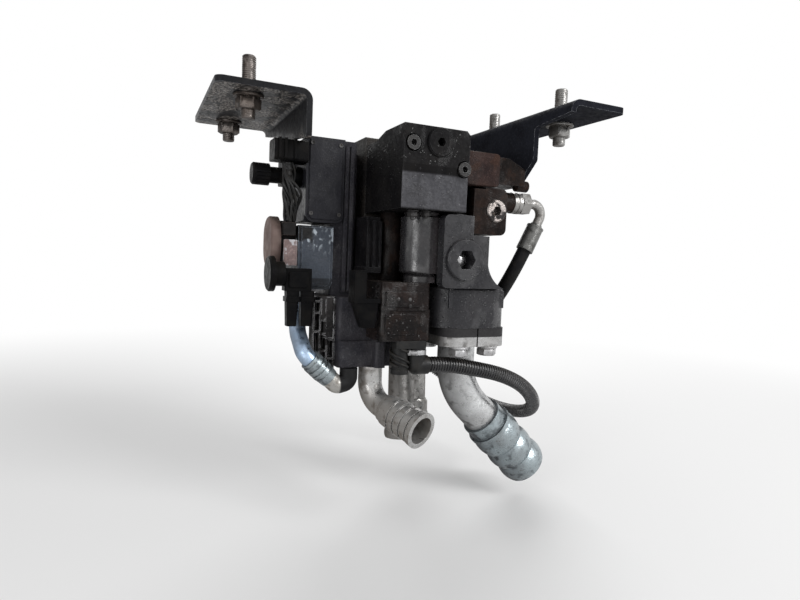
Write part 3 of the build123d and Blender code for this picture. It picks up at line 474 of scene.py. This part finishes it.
for material, names in FINISHES.items():
    for name in names:
        for place in nodes[name].material_slots:
            place.material = material


# Making pieces

SMOOTH_UP_TO = radians(38)


def piece(name, points, faces, material):
    """A mesh piece that belongs to the object, with sharp edges where it turns by more."""
    mesh = bpy.data.meshes.new(name)
    mesh.from_pydata([tuple(p) for p in points], [], faces)
    mesh.update()
    mesh.shade_smooth()
    mesh.set_sharp_from_angle(angle=SMOOTH_UP_TO)
    mesh.materials.append(material)
    made = bpy.data.objects.new(name, mesh)
    bpy.context.collection.objects.link(made)
    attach(made, "root")
    return made


def smooth_line(points):
    """Points along the NURBS spline that has these control points, in metres."""
    curve = bpy.data.curves.new("route", "CURVE")
    curve.dimensions = "3D"
    spline = curve.splines.new("NURBS")
    spline.points.add(len(points) - 1)
    for place, point in zip(spline.points, points):
        place.co = (*(v * MM for v in point), 1)
    spline.order_u = 3
    spline.use_endpoint_u = True
    spline.resolution_u = 24
    holder = bpy.data.objects.new("route", curve)
    mesh = bpy.data.meshes.new_from_object(holder)
    line = [v.co.copy() for v in mesh.vertices]
    bpy.data.objects.remove(holder)
    bpy.data.meshes.remove(mesh)
    return line


def resample(line, step):
    """The same line with points a fixed step apart."""
    out, left = [line[0]], step
    for a, b in zip(line, line[1:]):
        run = (b - a).length
        while left <= run:
            a = a.lerp(b, left / run)
            run = (b - a).length
            left = step
            out.append(a.copy())
        left -= run
    return out


def tube(name, line, radius_at, sides, material):
    """A tube round a line, with a radius for each point, closed at both ends."""
    across = Vector((0, 0, 1)).cross(line[1] - line[0])
    if across.length < 1e-6:
        across = Vector((1, 0, 0))
    across.normalize()
    points = []
    for i, at in enumerate(line):
        way = (line[min(i + 1, len(line) - 1)] - line[max(i - 1, 0)]).normalized()
        across = (across - way * across.dot(way)).normalized()
        up = way.cross(across)
        for s in range(sides):
            a = tau * s / sides
            points.append(at + (across * cos(a) + up * sin(a)) * radius_at(i))
    faces = [(i * sides + s, i * sides + (s + 1) % sides, (i + 1) * sides + (s + 1) % sides,
              (i + 1) * sides + s) for i in range(len(line) - 1) for s in range(sides)]
    faces += [tuple(range(sides))[::-1], tuple((len(line) - 1) * sides + s for s in range(sides))]
    return piece(name, points, faces, material)


class Shape:
    """Points and faces of one piece, gathered from turned forms; millimetres in, metres out."""

    def __init__(self):
        self.points, self.faces = [], []

    def turned(self, at, way, profile, sides=36):
        """A form turned about an axis, from (length, radius or radius at an angle) pairs."""
        way = Vector(way).normalized()
        across = way.orthogonal().normalized()
        up = way.cross(across)
        first = len(self.points)
        for along, radius in profile:
            for s in range(sides):
                a = tau * s / sides
                r = radius(a) if callable(radius) else radius
                self.points.append((Vector(at) + way * along + (across * cos(a) + up * sin(a)) * r) * MM)
        rows = len(profile)
        self.faces += [(first + i * sides + s, first + i * sides + (s + 1) % sides,
                        first + (i + 1) * sides + (s + 1) % sides, first + (i + 1) * sides + s)
                       for i in range(rows - 1) for s in range(sides)]
        self.faces += [tuple(first + s for s in range(sides))[::-1],
                       tuple(first + (rows - 1) * sides + s for s in range(sides))]

    def make(self, name, material, *replaced):
        made = piece(name, self.points, self.faces, material)
        if replaced:
            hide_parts(*replaced)


def hexed(flats, limit=1e3):
    """The radius of a hexagon at an angle, cut off by a circle."""
    return lambda a: min(limit, flats / 2 / cos((a % (pi / 3)) - pi / 6))


# Profiles for Shape.turned

def nut(flats, high):
    """A hexagon with both ends chamfered."""
    rim, bevel = 0.475 * flats, 0.06 * flats
    return [(0, hexed(flats, rim)), (bevel, hexed(flats)), (high - bevel, hexed(flats)),
            (high, hexed(flats, rim))]


def thread(long, r, pitch=2.0, deep=0.6):
    """A turning screw thread with chamfered ends."""
    rows, rows_a_turn, chamfer = [], 4, 1.2
    steps = int(long / pitch * rows_a_turn)
    for i in range(steps + 1):
        along = long * i / steps
        end = min(r, r - chamfer + min(along, long - along))
        rows.append((along, lambda a, along=along, end=end: min(
            end, r - deep * abs(2 * ((along / pitch + a / tau) % 1) - 1))))
    return rows


def bevelled(long, r, bevel=0.4, drop=0.4):
    """A washer, band or pin whose rims drop by so much over the bevel."""
    return [(0, r - drop), (bevel, r), (long - bevel, r), (long, r - drop)]


def screw(r, high, socket):
    """A round head with a hexagon socket."""
    return [(0, r), (0.75 * high, r), (high, 0.86 * r), (high, hexed(socket)), (0.3 * high, hexed(socket))]


UP, DOWN, FORWARD, RIGHT = (0, 0, 1), (0, 0, -1), (0, -1, 0), (1, 0, 0)
WASHER_THICK = 2.5

# Studs with threads, chamfered nuts and washers: name, x, y of the front one, material
STUDS = (("left_studs", 0, -65, stud_iron), ("right_studs", 327, -141, zinc_dirty))
STUDS_APART = 130
STUD_LOW, STUD_LONG, STUD_R = -29.5, 61.5, 7
STUD_NUT_LOW, STUD_NUT_HIGH, STUD_NUT_FLATS = -20.5, 12, 22
STUD_WASHER_LOW, STUD_WASHER_R = -8.5, 15
for name, x, front, look in STUDS:
    studs = Shape()
    for y in (front, front + STUDS_APART):
        studs.turned((x, y, STUD_LOW), UP, thread(STUD_LONG, STUD_R), 24)
        studs.turned((x, y, STUD_NUT_LOW), UP, nut(STUD_NUT_FLATS, STUD_NUT_HIGH))
        studs.turned((x, y, STUD_WASHER_LOW), UP, bevelled(WASHER_THICK, STUD_WASHER_R))
    studs.make(name + "_threaded", look, name)

# The port flange's four bolts, round its middle
FLANGE_X, FLANGE_Y, FLANGE_LOW = 233, -97, -253
BOLTS_APART_X, BOLTS_APART_Y = 35.7, 69.9
SHANK_R, SHANK_LONG = 6, 20
BOLT_FLATS, BOLT_HIGH, BOLT_WASHER_R = 19, 8, 11.5
bolts = Shape()
for x in (FLANGE_X - BOLTS_APART_X / 2, FLANGE_X + BOLTS_APART_X / 2):
    for y in (FLANGE_Y - BOLTS_APART_Y / 2, FLANGE_Y + BOLTS_APART_Y / 2):
        bolts.turned((x, y, FLANGE_LOW), UP, [(0, SHANK_R), (SHANK_LONG, SHANK_R)], 24)
        bolts.turned((x, y, FLANGE_LOW), DOWN, bevelled(WASHER_THICK, BOLT_WASHER_R))
        bolts.turned((x, y, FLANGE_LOW - WASHER_THICK), DOWN, nut(BOLT_FLATS, BOLT_HIGH))
bolts.make("flange_bolts_chamfered", bolt_zinc, "flange_bolts")

# Small screws in the covers' corners and on the pilot plate
COVER_X, COVER_Z, COVER_FRONT = (65.5, 96.5), (-45, -118), -70
COVER_SCREW = screw(2.3, 1.1, 2.4)
PLATE_PLACES, PLATE_FRONT = ((131, -203), (138.5, -202.5), (151.5, -202.8), (152, -209.4)), -139.4
PLATE_SCREW = [(0, 2.1), (0.5, 1.9), (0.9, 1.2), (1.0, 0.3)]
small = Shape()
for x in COVER_X:
    for z in COVER_Z:
        small.turned((x, COVER_FRONT, z), FORWARD, COVER_SCREW, 24)
for x, z in PLATE_PLACES:
    small.turned((x, PLATE_FRONT, z), FORWARD, PLATE_SCREW, 20)
small.make("cover_screws", dark_screw)

# Two nuts with thin washers under the manifold: x, y, size across flats
MANIFOLD_NUTS, MANIFOLD_LOW, THIN_WASHER = ((150, -141, 10), (162, -146, 8)), -113, 1.2
nuts = Shape()
for x, y, flats in MANIFOLD_NUTS:
    nuts.turned((x, y, MANIFOLD_LOW), DOWN, bevelled(THIN_WASHER, 0.62 * flats), 28)
    nuts.turned((x, y, MANIFOLD_LOW - THIN_WASHER), DOWN, nut(flats, 0.55 * flats), 36)
    nuts.turned((x, y, MANIFOLD_LOW - THIN_WASHER), DOWN,
                thread(0.85 * flats, 0.3 * flats, pitch=1.2, deep=0.3), 20)
nuts.make("manifold_nuts", dark_screw)

# Band with its screw, a barrel and a nut, round the elbow boot
BOOT_X, BOOT_Y = 168, -125
BAND_LOW, BAND_HIGH, BAND_R = -261, 5, 10.7
BAND_SCREW_AT, BAND_SCREW_WAY = (158.3, -132.6, -258.5), Vector((0.8, -0.6, 0))
BARREL_LONG, BARREL_R, BAND_NUT_FLATS, BAND_NUT_HIGH = 7, 2.7, 6, 3
band = Shape()
band.turned((BOOT_X, BOOT_Y, BAND_LOW), UP, bevelled(BAND_HIGH, BAND_R, bevel=0.2, drop=0.6), 48)
band.turned(BAND_SCREW_AT, BAND_SCREW_WAY, bevelled(BARREL_LONG, BARREL_R, drop=0.5), 20)
band.turned(BAND_SCREW_AT, -BAND_SCREW_WAY, nut(BAND_NUT_FLATS, BAND_NUT_HIGH), 36)
band.make("boot_band", bolt_zinc)

# Strands wound round the sleeve beside the boot: first angle, top, turn in radians
SLEEVE_STRANDS = ((0.2, -255, 5.2), (2.4, -256, 4.6), (4.4, -254.6, 6.0))
SLEEVE_X, SLEEVE_R, SLEEVE_STRAND_R, STRAND_DROP, STRAND_STEPS = 149, 9.6, 1.25, 18, 60
for number, (start, top, turn) in enumerate(SLEEVE_STRANDS):
    wound = []
    for i in range(STRAND_STEPS + 1):
        t = i / STRAND_STEPS
        reach = SLEEVE_R + 0.8 * sin(9 * t)
        wound.append(Vector((SLEEVE_X + cos(start + turn * t) * reach,
                             BOOT_Y + sin(start + turn * t) * reach, top - STRAND_DROP * t)) * MM)
    tube(f"sleeve_strand_{number + 1}", wound, lambda i: SLEEVE_STRAND_R * MM, 10, boot_rubber)

# Collar between the side port's boss and the nut, and the polished floor of the big plug's socket
COLLAR_AT = (277.5, -124, -95)
COLLAR = [(0, 10.9), (0.3, 11.6), (4.6, 11.6), (5.2, 11.1), (6, 11.1), (6.6, 11.8), (10.7, 11.8),
          (11.2, 11.2)]
SOCKET_AT = (207, -136.8, -160.5)
SOCKET_FLOOR = [(0, 9.2), (2, 8.6), (4, 7.2), (5.4, 5), (6.2, 2.6), (6.4, 0.3)]
collar = Shape()
collar.turned(COLLAR_AT, RIGHT, COLLAR, 40)
collar.make("side_collar", zinc_dirty)
glint = Shape()
glint.turned(SOCKET_AT, FORWARD, SOCKET_FLOOR, 36)
glint.make("socket_floor", polished)


# Hoses held at both ends by the object, on the routes of the solids
JUMPER = ((313.0, -121.8, -125.7), (298.1, -119.6, -158.3), (289, -104, -192), (290, -70, -224),
          (289, -27, -252), (278, 13, -258), (261.2, 47, -242), (246.2, 68, -210), (239.2, 71, -176),
          (239.2, 71, -132))
CONDUIT = ((181, -125, -273), (202, -125, -273), (238, -129, -279), (274, -129, -287), (307, -123, -301),
           (334, -110, -320), (355, -88, -340), (367, -56, -356), (368, -18, -364), (357, 18, -362),
           (336, 48, -348), (308, 68, -326), (278, 77, -304), (250, 78, -281), (228, 76, -256),
           (215, 73, -228), (212, 72, -201))
LOOM = ((41, -66, -67.3), (41, -66, -84), (43, -64, -108), (45, -62, -128))
jumper_line = smooth_line(JUMPER)
JUMPER_STEP, JUMPER_R = 2, 7.8
jumper = tube("jumper_hose_fabric", resample(jumper_line, JUMPER_STEP * MM), lambda i: JUMPER_R * MM, 24,
              rubber)
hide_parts("jumper_hose")

# The conduit's radii over one rib, a step apart
RIB, RIB_STEP = (8.5, 8.5, 7.2, 7.2), 0.8
rib_line = resample(smooth_line(CONDUIT), RIB_STEP * MM)
ribbed = tube("ribbed_conduit", rib_line, lambda i: RIB[i % len(RIB)] * MM, 20, loom_plastic)
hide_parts("conduit")

# The taped loom, a little uneven, and loose strands round it that bulge towards the front and right
LOOM_STEP, LOOM_R, LOOM_UNEVEN = 1, 4.5, 0.5
LOOM_STRANDS, LOOM_STRAND_R, LOOM_STRAND_OUT = 14, 1.3, 4.6
loom_line = smooth_line(LOOM)
loom_points = resample(loom_line, LOOM_STEP * MM)
loom = tube("wiring_loom_tape", loom_points, lambda i: (LOOM_R + LOOM_UNEVEN * sin(i * 1.1)) * MM, 16,
            boot_rubber)
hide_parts("wiring_loom")
random.seed(4)
for number in range(LOOM_STRANDS):
    start, turn, sway = random.uniform(0, tau), random.uniform(1.5, 6), random.uniform(0.5, 3.5)
    aside = Vector((random.uniform(-1, 8), random.uniform(-5, 1), 0))
    wound = []
    for i, at in enumerate(loom_points):
        t = i / (len(loom_points) - 1)
        reach = LOOM_STRAND_OUT + sway * sin(pi * t) + 0.7 * sin(13 * t + start)
        swirl = Vector((cos(start + turn * t), sin(start + turn * t), 0)) * reach
        wound.append(at + (swirl + aside * sin(pi * t) ** 2) * MM)
    tube(f"loom_strand_{number + 1}", wound, lambda i: LOOM_STRAND_R * MM, 10, boot_rubber)


# Camera at the photograph's place: a focal length of 575 of the picture's 800 columns
AZIMUTH, PITCH, ROLL = radians(-25), radians(-4), radians(2.3)
EYE = Vector((-0.103, -0.661, -0.163))
FOCAL_COLUMNS, PICTURE_COLUMNS = 575, 800
SENSOR = 36
ahead = Vector((-sin(AZIMUTH) * cos(PITCH), cos(AZIMUTH) * cos(PITCH), sin(PITCH)))
flat = Vector((cos(AZIMUTH), sin(AZIMUTH), 0))
above = flat.cross(ahead)
right = flat * cos(ROLL) + above * sin(ROLL)
up = above * cos(ROLL) - flat * sin(ROLL)
camera = bpy.data.objects.new("camera", bpy.data.cameras.new("camera"))
camera.data.sensor_width = SENSOR
camera.data.lens = FOCAL_COLUMNS / PICTURE_COLUMNS * SENSOR
camera.data.clip_start = 0.01
camera.matrix_world = Matrix.Translation(EYE) @ Matrix((right, up, -ahead)).transposed().to_4x4()
bpy.context.collection.objects.link(camera)
bpy.context.scene.camera = camera

# Pale floor that fades to white with distance, for the camera and for reflections only
FLOOR_Z, FLOOR_HALF = -0.445, 30
FLOOR_GREY, WHITE, BLACK = (0.8, 0.8, 0.8), (1.0, 1.0, 1.0), (0.0, 0.0, 0.0)
FADE_MIDDLE, FADE_BEGINS, FADE_FULL = (0.2, 0.0, FLOOR_Z), 0.45, 1.7
floor_look = Look("pale_floor")
rays = floor_look.node("LightPath")
direct = floor_look.total(rays.outputs["Is Camera Ray"], rays.outputs["Is Glossy Ray"])
away = floor_look.node("VectorMath", operation="DISTANCE")
floor_look.put(away.inputs[0], floor_look.place)
away.inputs[1].default_value = FADE_MIDDLE
far = floor_look.product(floor_look.ramp(away.outputs["Value"], FADE_BEGINS, FADE_FULL), direct)
floor_look.put(floor_look.shader.inputs["Emission Color"], WHITE)
floor_look.put(floor_look.shader.inputs["Emission Strength"], far)
floor_look.finish(floor_look.mix(far, FLOOR_GREY, BLACK), 0.9, floor_look.facing, specular=0.0)
mesh = bpy.data.meshes.new("floor")
mesh.from_pydata([(-FLOOR_HALF, -FLOOR_HALF, FLOOR_Z), (FLOOR_HALF, -FLOOR_HALF, FLOOR_Z),
                  (FLOOR_HALF, FLOOR_HALF, FLOOR_Z), (-FLOOR_HALF, FLOOR_HALF, FLOOR_Z)],
                 [], [(0, 1, 2, 3)])
mesh.materials.append(floor_look.material)
floor = bpy.data.objects.new("floor", mesh)
bpy.context.collection.objects.link(floor)

# Lamps round the middle of the part: name, offset, size, watts
MIDDLE = Vector((0.17, -0.06, -0.2))
LAMPS = (("key", (1.0, -1.5, 0.9), 0.9, 25), ("fill", (-1.3, -0.9, 0.3), 0.7, 7),
         ("back", (0.7, 1.4, 1.1), 1.2, 22))
for name, offset, size, power in LAMPS:
    lamp = bpy.data.objects.new(name, bpy.data.lights.new(name, "AREA"))
    lamp.data.size = size
    lamp.data.energy = power
    lamp.location = MIDDLE + Vector(offset)
    lamp.rotation_euler = (-Vector(offset)).to_track_quat("-Z", "Y").to_euler()
    bpy.context.collection.objects.link(lamp)

# World: white where it is seen directly, reflected or through glass, and a dimmer light elsewhere
DIM, FULL = 0.38, 1.0
world = bpy.data.worlds.new("studio")
bpy.context.scene.world = world
world.use_nodes = True
tree = world.node_tree
tree.nodes.clear()
rays = tree.nodes.new("ShaderNodeLightPath")
seen = rays.outputs["Is Camera Ray"]
for kind in ("Is Glossy Ray", "Is Transmission Ray"):
    add = tree.nodes.new("ShaderNodeMath")
    add.operation = "ADD"
    add.use_clamp = True
    tree.links.new(seen, add.inputs[0])
    tree.links.new(rays.outputs[kind], add.inputs[1])
    seen = add.outputs[0]
blend = tree.nodes.new("ShaderNodeMixShader")
tree.links.new(seen, blend.inputs[0])
for socket, strength in ((1, DIM), (2, FULL)):
    glow = tree.nodes.new("ShaderNodeBackground")
    glow.inputs["Color"].default_value = (1, 1, 1, 1)
    glow.inputs["Strength"].default_value = strength
    tree.links.new(glow.outputs[0], blend.inputs[socket])
tree.links.new(blend.outputs[0], tree.nodes.new("ShaderNodeOutputWorld").inputs[0])
bpy.context.scene.view_settings.view_transform = "Standard"
